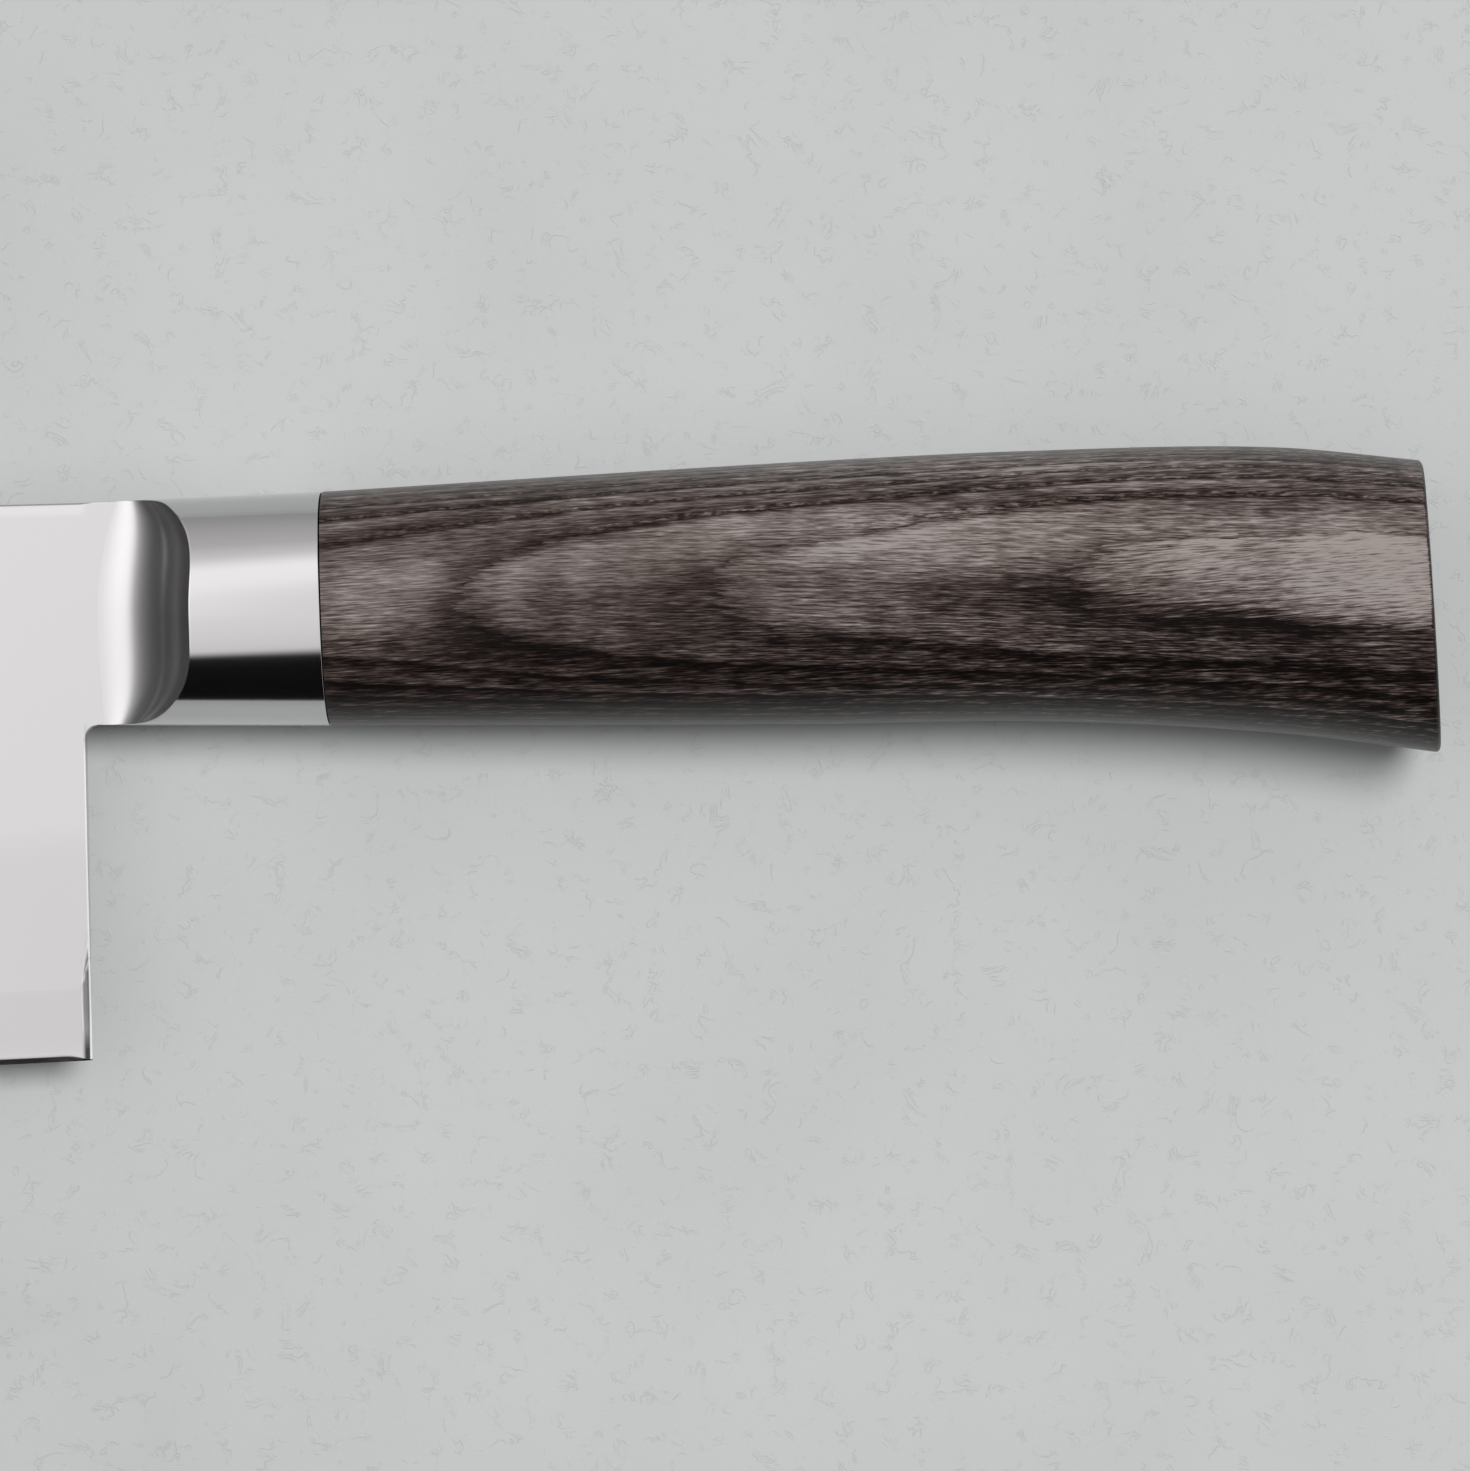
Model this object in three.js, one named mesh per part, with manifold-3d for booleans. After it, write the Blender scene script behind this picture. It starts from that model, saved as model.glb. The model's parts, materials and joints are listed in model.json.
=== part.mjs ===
// A gyuto, the Japanese cook's knife: a blade of three welded steel layers, a bolster half
// welded to each side of its neck, and a hidden tang glued into a handle of dyed veneers.
import * as THREE from "three";
import { mergeVertices } from "three/addons/utils/BufferGeometryUtils.js";
import Module from "manifold-3d";

const wasm = await Module();
wasm.setup();

// Lengths are millimetres. The knife is drawn flat: x = 0 at the heel and +X to the butt,
// y = 0 on the centre line of the bolster and +Y to the spine, z = 0 on the blade's middle
// plane. The finished group lies on its side, with +Z up.

// Blade
const bladeLength = 210; // heel to tip
const bladeHeight = 49.3; // spine to edge, at the heel
const spineAbove = 9.8; // spine above the centre line, at the heel
const tipAbove = 17.8; // tip above the heel's edge line
const tipHeight = 1; // blunt end of the tip
const spineHalf = 1; // half of the thickness at the heel
const distalHalf = 0.55; // the same where the point begins
const tipHalf = 0.2;
const pointLength = 18; // thinned for the point
const taperStart = 6; // ahead of the heel, where the thickness starts to fall
const bevelHeight = 19; // ground strip above the edge
const edgeBevel = 0.5; // sharpened strip
const shoulderHalf = 0.12; // half thickness above the sharpened strip
const edgeHalf = 0.01;
const coreHalf = 0.43; // half thickness of the hard middle layer
const weldGap = 0.02; // between welded layers

// Neck and tang
const neckDrop = 9.95; // neck's lower edge below the centre line
const choilRadius = 1.2;
const tangHalf = 5.5; // half height where the tang leaves the bolster
const tangEndHalf = 4; // half height at its round end
const tangLength = 66; // behind the bolster

// Bolster
const bolsterFront = 1.4; // toe of the scoop, behind the heel
const scoopRadius = 8.8;
const toeThickness = 0.1;
const bolsterFrontHalf = 8.9; // half width
const seam = 21.8; // front of the handle, behind the heel
const seamHalf = 9; // half width of bolster and handle at the seam
const seamRise = 10.5; // top above the centre line at the seam
const seamDrop = 10.45; // underside below it
const sectionPower = 2.4; // of the rounded section: 2 is an ellipse
const seamGlue = 0.1;
const seamSlant = 0.0125; // the seam leans, its underside further back

// Handle: rise and drop are measured from the centre line
const handleLength = 97.9;
const palm = { at: 44, rise: 12.3, drop: 11, half: 10.5 }; // at: behind the seam
const waist = { ahead: 35, rise: 12.8, drop: 11.15, half: 10.15 }; // ahead: of the butt
const flare = { ahead: 13, rise: 12.65, drop: 12.75, half: 10.7 };
const butt = { rise: 11.2, drop: 14.65, half: 10.9 };
const buttRound = 1.3;
const buttSlant = 0.045; // the underside reaches further back than the top
const veneer = 0.9; // thickness of one ply
const resinLine = 0.02; // between plies
const epoxyWall = 0.6; // around the tang
const fitGap = 0.05;

const edgeAtHeel = spineAbove - bladeHeight;
const tipEdge = edgeAtHeel + tipAbove;
const handleFront = seam;
const bolsterEnd = seam - seamGlue;
const handleEnd = seam + handleLength;
const tangEnd = seam + tangLength;

const steel = { color: 0xc6c7c8, roughness: 0.28, metalness: 1 };
const hardSteel = { color: 0xb4b8bc, roughness: 0.22, metalness: 1 };
const polishedSteel = { color: 0xd4d5d6, roughness: 0.12, metalness: 1 };
const darkVeneer = { color: 0x3a302c, roughness: 0.5, metalness: 0 };
const greyVeneer = { color: 0x6f655f, roughness: 0.5, metalness: 0 };
const epoxyResin = { color: 0xb8a27a, roughness: 0.4, metalness: 0 };

function solidOf(geometry) {
  const bare = new THREE.BufferGeometry();
  bare.setAttribute("position", geometry.getAttribute("position"));
  bare.setIndex(geometry.getIndex());
  const merged = mergeVertices(bare, 1e-4);
  return new wasm.Manifold(
    new wasm.Mesh({
      numProp: 3,
      vertProperties: new Float32Array(merged.getAttribute("position").array),
      triVerts: new Uint32Array(merged.getIndex().array),
    }),
  );
}

function meshOf(name, solid, look) {
  const { vertProperties, triVerts } = solid.getMesh();
  const geometry = new THREE.BufferGeometry();
  geometry.setAttribute("position", new THREE.BufferAttribute(vertProperties, 3));
  geometry.setIndex(new THREE.BufferAttribute(triVerts, 1));
  geometry.computeVertexNormals();
  const mesh = new THREE.Mesh(geometry, new THREE.MeshStandardMaterial(look));
  mesh.name = name;
  return mesh;
}

// A closed skin over convex rings of equal length, each drawn anticlockwise seen from +X.
function loft(rings) {
  const size = rings[0].length;
  const index = [];
  for (let i = 0; i + 1 < rings.length; i++) {
    for (let j = 0; j < size; j++) {
      const a = i * size + j;
      const b = i * size + ((j + 1) % size);
      index.push(a, b, b + size, a, b + size, a + size);
    }
  }
  const last = (rings.length - 1) * size;
  for (let j = 1; j + 1 < size; j++) {
    index.push(0, j + 1, j, last, last + j, last + j + 1);
  }
  const geometry = new THREE.BufferGeometry().setFromPoints(rings.flat());
  return solidOf(geometry.setIndex(index));
}

function slab(low, high) {
  const box = new THREE.BoxGeometry(1000, 200, high - low);
  return solidOf(box.translate(0, 0, (low + high) / 2));
}

function plate(shape, half) {
  const options = { depth: 2 * half, bevelEnabled: false, curveSegments: 10 };
  return solidOf(new THREE.ExtrudeGeometry(shape, options).translate(0, 0, -half));
}

// A smooth line through [position, value, ...] stations.
function lineThrough(stations) {
  const positions = stations.map(([position]) => position);
  const values = stations.flatMap(([, ...rest]) => rest);
  return new THREE.CubicInterpolant(positions, values, stations[0].length - 1);
}

// Shares of the blade's length against shares of the drop from spine to tip, and of the
// rise from heel to tip.
const spineLine = lineThrough([
  [0, 0],
  [0.29, 0.01],
  [0.52, 0.055],
  [0.71, 0.166],
  [0.84, 0.35],
  [0.93, 0.625],
  [1, 1],
]);
const edgeLine = lineThrough([
  [0, 0],
  [0.1, -0.017],
  [0.29, -0.028],
  [0.5, 0.011],
  [0.69, 0.152],
  [0.83, 0.376],
  [0.94, 0.7],
  [1, 1],
]);

function spineAt(ahead) {
  const drop = spineAbove - tipEdge - tipHeight;
  return spineAbove - drop * spineLine.evaluate(ahead / bladeLength)[0];
}

function edgeAt(ahead) {
  return edgeAtHeel + tipAbove * edgeLine.evaluate(ahead / bladeLength)[0];
}

function flatHalfAt(ahead) {
  const pointStart = bladeLength - pointLength;
  const body = THREE.MathUtils.mapLinear(ahead, taperStart, pointStart, spineHalf, distalHalf);
  const point = THREE.MathUtils.mapLinear(ahead, pointStart, bladeLength, distalHalf, tipHalf);
  return Math.min(spineHalf, ahead < pointStart ? body : point);
}

function bladeRing(ahead) {
  const top = spineAt(ahead);
  const edge = edgeAt(ahead);
  const half = flatHalfAt(ahead);
  const ground = edge + Math.min(bevelHeight, 0.75 * (top - edge));
  const shoulder = edge + Math.min(edgeBevel, 0.25 * (top - edge));
  const side = [
    [top, half],
    [ground, half],
    [shoulder, shoulderHalf],
    [edge, edgeHalf],
  ];
  const left = side.map(([y, z]) => new THREE.Vector3(-ahead, y, z));
  const right = side.map(([y, z]) => new THREE.Vector3(-ahead, y, -z)).reverse();
  return [...left, ...right];
}

function tangOutline(start, grow) {
  const end = tangEnd - tangEndHalf;
  const shape = new THREE.Shape();
  shape.moveTo(start, -tangHalf - grow);
  shape.lineTo(end, -tangEndHalf - grow);
  shape.absarc(end, 0, tangEndHalf + grow, -Math.PI / 2, Math.PI / 2, false);
  shape.lineTo(start, tangHalf + grow);
  return shape;
}

function neckOutline() {
  const low = -neckDrop - choilRadius;
  const shape = new THREE.Shape();
  shape.moveTo(-taperStart, spineAt(taperStart));
  shape.lineTo(-taperStart, low);
  shape.lineTo(0, low);
  shape.absarc(choilRadius, low, choilRadius, Math.PI, Math.PI / 2, true);
  shape.lineTo(bolsterEnd + seamSlant * seamDrop, -seamDrop);
  shape.lineTo(bolsterEnd - seamSlant * seamRise, seamRise);
  shape.lineTo(0, spineAbove);
  return shape;
}

// The whole ground blank, from which the three layers are sliced.
function makeBlank() {
  const stations = 24;
  const rings = [bladeRing(bladeLength)];
  for (let i = stations - 1; i > 0; i--) {
    const share = 1 - (1 - i / stations) ** 1.5;
    rings.push(bladeRing(taperStart + share * (bladeLength - taperStart)));
  }
  rings.push(bladeRing(taperStart), bladeRing(0));
  const neck = plate(neckOutline(), spineHalf);
  const tang = plate(tangOutline(bolsterEnd - 2, 0), spineHalf);
  return loft(rings).add(neck).add(tang);
}

function makeCore(blank) {
  const layer = blank.intersect(slab(-coreHalf, coreHalf));
  return meshOf("blade_core", layer, hardSteel);
}

function makeCladding(name, blank, side) {
  const inner = side * (coreHalf + weldGap);
  const outer = side * 2 * spineHalf;
  const layer = blank.intersect(slab(Math.min(inner, outer), Math.max(inner, outer)));
  return meshOf(name, layer, steel);
}

// A rounded section across the handle or the bolster, its underside sheared back by slant.
function roundRing(x, rise, drop, half, slant) {
  const points = 32;
  const ring = [];
  for (let i = 0; i < points; i++) {
    const angle = (i / points) * 2 * Math.PI;
    const across = Math.abs(Math.cos(angle)) ** (2 / sectionPower);
    const along = Math.abs(Math.sin(angle)) ** (2 / sectionPower);
    const y = Math.cos(angle) >= 0 ? rise * across : -drop * across;
    const z = Math.sign(Math.sin(angle)) * half * along;
    ring.push(new THREE.Vector3(x - slant * y, y, z));
  }
  return ring;
}

function makeBolsterHalf(name, side) {
  const drop = THREE.MathUtils.mapLinear(bolsterFront, choilRadius, seam, neckDrop, seamDrop);
  const rise = THREE.MathUtils.mapLinear(bolsterFront, 0, seam, spineAbove, seamRise);
  const collar = loft([
    roundRing(bolsterFront, rise, drop, bolsterFrontHalf, 0),
    roundRing(bolsterEnd, seamRise, seamDrop, seamHalf, seamSlant),
  ]);
  const inner = side * (spineHalf + weldGap);
  const outer = side * 2 * seamHalf;
  const half = collar.intersect(slab(Math.min(inner, outer), Math.max(inner, outer)));
  const roller = new THREE.CylinderGeometry(scoopRadius, scoopRadius, 4 * seamRise, 72);
  roller.translate(bolsterFront, 0, side * (spineHalf + weldGap + toeThickness + scoopRadius));
  return meshOf(name, half.subtract(solidOf(roller)), polishedSteel);
}

function handleStations() {
  return [
    [handleFront, seamRise, seamDrop, seamHalf],
    [handleFront + palm.at, palm.rise, palm.drop, palm.half],
    [handleEnd - waist.ahead, waist.rise, waist.drop, waist.half],
    [handleEnd - flare.ahead, flare.rise, flare.drop, flare.half],
    [handleEnd, butt.rise, butt.drop, butt.half],
  ];
}

function makeHandleBlock() {
  const line = lineThrough(handleStations());
  const slantAt = (x) =>
    THREE.MathUtils.mapLinear(x, handleFront, handleEnd, seamSlant, buttSlant);
  const rings = [];
  const stations = 12;
  const roundStart = handleEnd - buttRound;
  for (let i = 0; i < stations; i++) {
    const x = THREE.MathUtils.lerp(handleFront, roundStart, i / stations);
    const [rise, drop, half] = line.evaluate(x);
    rings.push(roundRing(x, rise, drop, half, slantAt(x)));
  }
  const turns = 3;
  for (let i = 0; i <= turns; i++) {
    const angle = (i / turns) * (Math.PI / 2);
    const x = roundStart + buttRound * Math.sin(angle);
    const inset = buttRound * (1 - Math.cos(angle));
    const [rise, drop, half] = line.evaluate(x);
    rings.push(roundRing(x, rise - inset, drop - inset, half - inset, slantAt(x)));
  }
  const slot = plate(tangOutline(handleFront - 1, epoxyWall), spineHalf + epoxyWall);
  return loft(rings).subtract(slot);
}

// One ply lies across the middle plane. The outermost ply on each side runs out at the skin.
function makeVeneers() {
  const block = makeHandleBlock();
  const widest = Math.max(palm.half, waist.half, flare.half, butt.half);
  const perSide = Math.floor((widest - veneer / 2) / veneer);
  const plies = [];
  for (let i = -perSide; i <= perSide; i++) {
    const gap = resinLine / 2;
    const low = i === -perSide ? -2 * widest : (i - 0.5) * veneer + gap;
    const high = i === perSide ? 2 * widest : (i + 0.5) * veneer - gap;
    const number = String(perSide + i + 1).padStart(2, "0");
    const look = i % 2 === 0 ? darkVeneer : greyVeneer;
    plies.push(meshOf("handle_veneer_" + number, block.intersect(slab(low, high)), look));
  }
  return plies;
}

function makeEpoxy() {
  const wall = epoxyWall - fitGap;
  const filled = plate(tangOutline(handleFront + fitGap, wall), spineHalf + wall);
  const tang = plate(tangOutline(handleFront - 1, fitGap), spineHalf + fitGap);
  return meshOf("tang_epoxy", filled.subtract(tang), epoxyResin);
}

// The knife lies on its tip and on whichever part of the bolster or handle meets the table.
function restPitch() {
  const overhang = scoopRadius + toeThickness + spineHalf - bolsterFrontHalf;
  const scoopEdge = bolsterFront + Math.sqrt(scoopRadius ** 2 - overhang ** 2);
  const supports = [[scoopEdge, 0, 0, bolsterFrontHalf], ...handleStations()];
  const pitches = supports.map(([x, , , half]) => Math.atan2(half - tipHalf, x + bladeLength));
  return Math.max(...pitches);
}

const blank = makeBlank();
const knife = new THREE.Group();
knife.add(
  makeCore(blank),
  makeCladding("blade_cladding_left", blank, 1),
  makeCladding("blade_cladding_right", blank, -1),
  makeBolsterHalf("bolster_left", 1),
  makeBolsterHalf("bolster_right", -1),
  makeEpoxy(),
  ...makeVeneers(),
);
knife.rotation.y = -restPitch();

const box = new THREE.Box3().setFromObject(knife, true);
const middle = box.getCenter(new THREE.Vector3());
knife.position.set(-middle.x, -middle.y, -box.min.z);

const group = new THREE.Group();
group.name = "gyuto_knife";
group.add(knife);

export default group;
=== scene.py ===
# A gyuto on a pale plaster table: ground steel blade, polished bolster and pakkawood handle.
import json
import math

import bmesh
import bpy
import numpy as np
from mathutils import Matrix, Vector


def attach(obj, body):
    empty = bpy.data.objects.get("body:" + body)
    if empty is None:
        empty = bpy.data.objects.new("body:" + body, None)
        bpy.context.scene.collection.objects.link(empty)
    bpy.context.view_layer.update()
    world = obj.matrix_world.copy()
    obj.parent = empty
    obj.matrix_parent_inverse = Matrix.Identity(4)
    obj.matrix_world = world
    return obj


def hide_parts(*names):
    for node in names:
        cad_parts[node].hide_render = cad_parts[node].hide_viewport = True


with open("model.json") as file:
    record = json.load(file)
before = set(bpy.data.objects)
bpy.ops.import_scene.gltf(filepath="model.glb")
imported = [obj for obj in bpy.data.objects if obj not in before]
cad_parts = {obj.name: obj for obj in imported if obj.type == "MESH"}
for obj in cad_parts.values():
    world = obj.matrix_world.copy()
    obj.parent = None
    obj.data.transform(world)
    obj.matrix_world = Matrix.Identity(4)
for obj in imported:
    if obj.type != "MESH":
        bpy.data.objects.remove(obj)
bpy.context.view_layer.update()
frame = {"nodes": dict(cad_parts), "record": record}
print("frame:", len(frame["nodes"]), "CAD nodes")

# Pieces are drawn in the knife's own millimetres: x = 0 at the heel and +x to the butt, y = 0 on
# the bolster's centre line and +y to the spine, z = 0 in the middle of the blade and +z out of
# its left face. layDown takes them to the frame.
mm = 0.001
mounts = {mount["name"]: mount for mount in frame["record"]["mounts"]}
leftFlat = mounts["left_blade_flat"]
rightFlat = mounts["right_blade_flat"]
flatsAt = Vector((-60, -5, 0))  # where the two blade flats are measured
faceUp = (Vector(leftFlat["axis"]) - Vector(rightFlat["axis"])).normalized()
toSpine = Vector((0, 1, 0))
toButt = toSpine.cross(faceUp)
knifeAxes = Matrix((toButt, toSpine, faceUp)).transposed()
flatsMiddle = (Vector(leftFlat["pos_m"]) + Vector(rightFlat["pos_m"])) / 2
heel = flatsMiddle - knifeAxes @ flatsAt * mm
layDown = Matrix.Translation(heel) @ knifeAxes.to_4x4() @ Matrix.Scale(mm, 4)


def linear(hexColour):
    channels = [int(hexColour[i:i + 2], 16) / 255 for i in (1, 3, 5)]
    return [c / 12.92 if c <= 0.04045 else ((c + 0.055) / 1.055) ** 2.4 for c in channels] + [1]


def setInputs(tree, node, inputs):  # each to a value, or linked to a node or a socket
    for key, value in inputs.items():
        if isinstance(value, bpy.types.Node):
            value = value.outputs[0]
        if isinstance(value, bpy.types.NodeSocket):
            tree.links.new(value, node.inputs[key])
        else:
            node.inputs[key].default_value = value


def addNode(tree, kind, settings=None, inputs=None):  # settings may be an operation, inputs a tuple
    node = tree.nodes.new(kind if "Node" in kind else "ShaderNode" + kind)
    if isinstance(settings, str):
        settings = {"operation": settings}
    for key, value in (settings or {}).items():
        setattr(node, key, value)
    setInputs(tree, node, dict(enumerate(inputs)) if isinstance(inputs, tuple) else inputs or {})
    return node


softly = {"interpolation_type": "SMOOTHSTEP"}


def setStops(ramp, stops):
    while len(ramp.elements) < len(stops):
        ramp.elements.new(0.5)
    for element, (place, colour) in zip(ramp.elements, stops):
        element.position = place
        element.color = linear(colour) if isinstance(colour, str) else [colour] * 3 + [1]


def newMaterial(name):
    material = bpy.data.materials.new(name)
    material.use_nodes = True
    tree = material.node_tree
    tree.nodes.clear()
    shader = addNode(tree, "BsdfPrincipled")
    addNode(tree, "OutputMaterial", inputs={"Surface": shader})
    return material, tree, shader


def knifePoint(tree):  # the shaded point in the knife's own millimetres
    upright = knifeAxes.transposed()
    place = addNode(tree, "TexCoord").outputs["Object"]
    return addNode(tree, "Mapping", inputs={
        "Vector": place, "Scale": [1 / mm] * 3, "Rotation": upright.to_euler(),
        "Location": -(upright @ heel) / mm})


def pattern(tree, point, lengths, detail, roughness=0.5):  # noise with grains of these lengths
    shares = [1 / length for length in lengths]
    scaled = addNode(tree, "VectorMath", "MULTIPLY", (point, shares))
    return addNode(tree, "TexNoise", inputs={
        "Vector": scaled, "Scale": 1, "Detail": detail, "Roughness": roughness})


def smoothLine(stations):  # through [place, value, ...], each slope the mean of its two chords
    rows = np.array(stations, float)
    places, values = rows[:, 0], rows[:, 1:]
    chords = np.diff(values, axis=0) / np.diff(places)[:, None]
    slopes = np.vstack([chords[:1], (chords[1:] + chords[:-1]) / 2, chords[-1:]])

    def at(place):
        i = min(max(int(np.searchsorted(places, place)) - 1, 0), len(places) - 2)
        span = places[i + 1] - places[i]
        p = (place - places[i]) / span
        ends = (2 * p**3 - 3 * p**2 + 1) * values[i] + (3 * p**2 - 2 * p**3) * values[i + 1]
        turns = (p**3 - 2 * p**2 + p) * slopes[i] + (p**3 - p**2) * slopes[i + 1]
        return ends + span * turns

    return at


def blend(low, high, share):
    return low + (high - low) * share


def softStep(low, high, value):
    p = min(max((value - low) / (high - low), 0), 1)
    return p * p * (3 - 2 * p)


def addObject(name, data):
    thing = bpy.data.objects.new(name, data)
    bpy.context.scene.collection.objects.link(thing)
    return thing


def meshFrom(shell, name):
    bmesh.ops.recalc_face_normals(shell, faces=shell.faces)
    mesh = bpy.data.meshes.new(name)
    shell.to_mesh(mesh)
    shell.free()
    return mesh


sharpAngle = math.radians(35)


def finishPiece(name, mesh, material, nodes):
    mesh.transform(layDown)
    mesh.materials.clear()
    mesh.materials.append(material)
    mesh.shade_smooth()
    mesh.set_sharp_from_angle(angle=sharpAngle)
    piece = addObject(name, mesh)
    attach(piece, "root")
    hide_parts(*nodes)
    print("piece:", name, len(mesh.polygons), "faces")


# Steel

steel = {
    "stainless": "#cac8c9", "core": "#c6c4c4", "darkGrindAndReflection": "#39393a", "satin": 0.18, "polish": 0.1,
    "grindLengths": (0.16, 24, 24), "grindShare": 0.4, "grindBump": 0.03, "grindDepth": 0.02,
    "satinLengths": (14, 30, 30), "satinSeen": (0.45, 0.95), "satinSpread": (-0.02, 0.03),
    "coreLengths": (5, 2.5, 5), "coreSeen": (0.3, 0.7), "coreSpread": (-0.03, 0.03),
    "buffLengths": (9, 0.25, 0.25), "buffSpread": 0.04,
}


def groundColour(tree, shader, bare):  # bare steel, darker on the relief by the choil: partly its duller grind, partly painted dark reflection
    relief = addNode(tree, "Attribute", {"attribute_name": "relief"}).outputs["Fac"]
    colour = addNode(tree, "ValToRGB", inputs={0: relief})
    setStops(colour.color_ramp, [(0, bare), (1, steel["darkGrindAndReflection"])])
    setInputs(tree, shader, {"Base Color": colour, "Metallic": 1})


def satinFinish(tree, shader, patches, kind):  # a satin that is smoother and rougher in patches
    smoother, rougher = steel[kind + "Spread"]
    roughness = addNode(tree, "MapRange", inputs=(
        patches, *steel[kind + "Seen"], steel["satin"] + smoother, steel["satin"] + rougher))
    setInputs(tree, shader, {"Roughness": roughness})


def makeSatinStainless():
    # Stainless cladding, ground and then satin polished: bright and soft, with grind lines that
    # run from spine to edge and only just show
    material, tree, shader = newMaterial("satin stainless")
    point = knifePoint(tree)
    lines = pattern(tree, point, steel["grindLengths"], 3)
    patches = pattern(tree, point, steel["satinLengths"], 2)
    mixed = addNode(tree, "Math", "MULTIPLY_ADD", (lines, steel["grindShare"], patches))
    bump = addNode(tree, "Bump", inputs={
        "Strength": steel["grindBump"], "Distance": steel["grindDepth"] * mm, "Height": lines})
    groundColour(tree, shader, steel["stainless"])
    satinFinish(tree, shader, mixed, "satin")
    setInputs(tree, shader, {"Normal": bump})
    return material


def makeCoreSteel():
    # Hardened core steel, bare below the cladding line: a shade darker, with a cloudy polish
    material, tree, shader = newMaterial("hardened core steel")
    groundColour(tree, shader, steel["core"])
    satinFinish(tree, shader, pattern(tree, knifePoint(tree), steel["coreLengths"], 3), "core")
    return material


def makePolishedStainless():
    # Stainless bolster, buffed to a clear shine on the collar and left satin in the scoop
    material, tree, shader = newMaterial("polished stainless")
    lines = pattern(tree, knifePoint(tree), steel["buffLengths"], 3)
    inScoop = addNode(tree, "Attribute", {"attribute_name": "scoop"}).outputs["Fac"]
    finish = addNode(tree, "MapRange", inputs=(inScoop, 0, 1, steel["polish"], steel["satin"]))
    roughness = addNode(tree, "Math", "MULTIPLY_ADD", (lines, steel["buffSpread"], finish))
    stainless = linear(steel["stainless"])
    setInputs(tree, shader, {"Base Color": stainless, "Metallic": 1, "Roughness": roughness})
    return material


satinStainless = makeSatinStainless()
coreSteel = makeCoreSteel()
polishedStainless = makePolishedStainless()

# Blade: one ground blank with its neck and tang, cut into core and claddings

blade = {
    "length": 210, "spine": 9.95, "height": 49.53, "tipAbove": 17.8, "tipHeight": 1,
    "half": 1, "distalHalf": 0.55, "tipHalf": 0.2, "pointLength": 18, "taperStart": 6,
    "bevel": 19, "bevelBlend": 2.2, "shoulder": 0.95, "edgeBevel": 0.54, "shoulderHalf": 0.18,
    "edgeHalf": 0.01, "edgeRunIn": 2.4, "spineRound": 0.18, "backRound": 0.1,
    "reliefWidth": 0.95, "reliefTop": 0.5, "reliefWiden": 0.35, "reliefHeight": 10.4, "reliefFade": 0.08,
    "reliefSlope": 17.5, "reliefBlend": 0.3, "reliefLow": (0.6, 0.95), "reliefLowShare": 0.5,
    "reliefTurn": 0.09, "reliefTurnWidth": 0.22, "eased": 0.15, "easedSlope": 9.5,
    # where the relief darkens: partly its grind, partly painted dark reflection
    "darkAcross": (0.05, 0.45), "darkLow": (0.64, 0.9), "darkLeast": 0.18, "coreHalf": 0.43,
    "neckDrop": 9.8, "choil": 1.2, "neckEnd": 21.7, "neckEndRise": 10.5, "neckEndDrop": 10.24,
    "tangHalf": 5.5, "tangEndHalf": 4, "tangEnd": 87.8, "toe": 1.4,
    "columns": 100, "crowding": 1.35, "heelColumns": 2.4,
}
edgeAtHeel = blade["spine"] - blade["height"]
spineShares = smoothLine([
    (0, 0), (0.29, 0.01), (0.52, 0.055), (0.71, 0.166), (0.84, 0.35), (0.93, 0.625), (1, 1)])
edgeShares = smoothLine([
    (0, 0), (0.033, -0.0125), (0.1, -0.03), (0.29, -0.035), (0.5, 0.008), (0.69, 0.152), (0.83, 0.376),
    (0.94, 0.7), (1, 1)])


def spineAt(x):
    if x > 0:
        return blend(blade["spine"], blade["neckEndRise"], x / (blade["neckEnd"] + 0.1))
    drop = blade["spine"] - edgeAtHeel - blade["tipAbove"] - blade["tipHeight"]
    return blade["spine"] - drop * spineShares(-x / blade["length"])[0]


def edgeAt(x):
    return edgeAtHeel + blade["tipAbove"] * edgeShares(-min(x, 0) / blade["length"])[0]


def flatHalfAt(x):
    pointStart = blade["length"] - blade["pointLength"]
    if -x > pointStart:
        return blend(blade["distalHalf"], blade["tipHalf"], (-x - pointStart) / blade["pointLength"])
    share = (-x - blade["taperStart"]) / (pointStart - blade["taperStart"])
    return blend(blade["half"], blade["distalHalf"], max(share, 0))


def neckLowAt(x):
    if x < blade["choil"]:
        run = blade["choil"] - x
        return -blade["neckDrop"] - blade["choil"] + math.sqrt(blade["choil"]**2 - run**2)
    share = (x - blade["choil"]) / (blade["neckEnd"] - blade["choil"])
    return -blend(blade["neckDrop"], blade["neckEndDrop"], share)


def tangHalfAt(x):
    roundStart = blade["tangEnd"] - blade["tangEndHalf"]
    if x > roundStart:
        return math.sqrt(max(blade["tangEndHalf"]**2 - (x - roundStart)**2, 0.04))
    share = (x - blade["neckEnd"]) / (roundStart - blade["neckEnd"])
    return blend(blade["tangHalf"], blade["tangEndHalf"], share)


def rounded(depth, radius):  # how far a rounded edge falls away at a depth inside it
    return radius - math.sqrt(radius**2 - (radius - depth)**2) if 0 <= depth < radius else 0


def bladeLevels(x):  # heights of the grind's turns at a place on the blade, drawn in towards the tip
    top, edge = spineAt(x), edgeAt(x)
    height = top - edge
    ground = edge + min(blade["bevel"], 0.75 * height)
    soft = min(blade["bevelBlend"], 0.12 * height)
    shoulder = edge + min(blade["shoulder"], 0.3 * height)
    runIn = 0.2 + 0.8 * softStep(0, blade["edgeRunIn"], -x)
    sharp = edge + min(blade["edgeBevel"], 0.15 * height) * runIn
    return top, ground, soft, shoulder, sharp, edge


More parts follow.
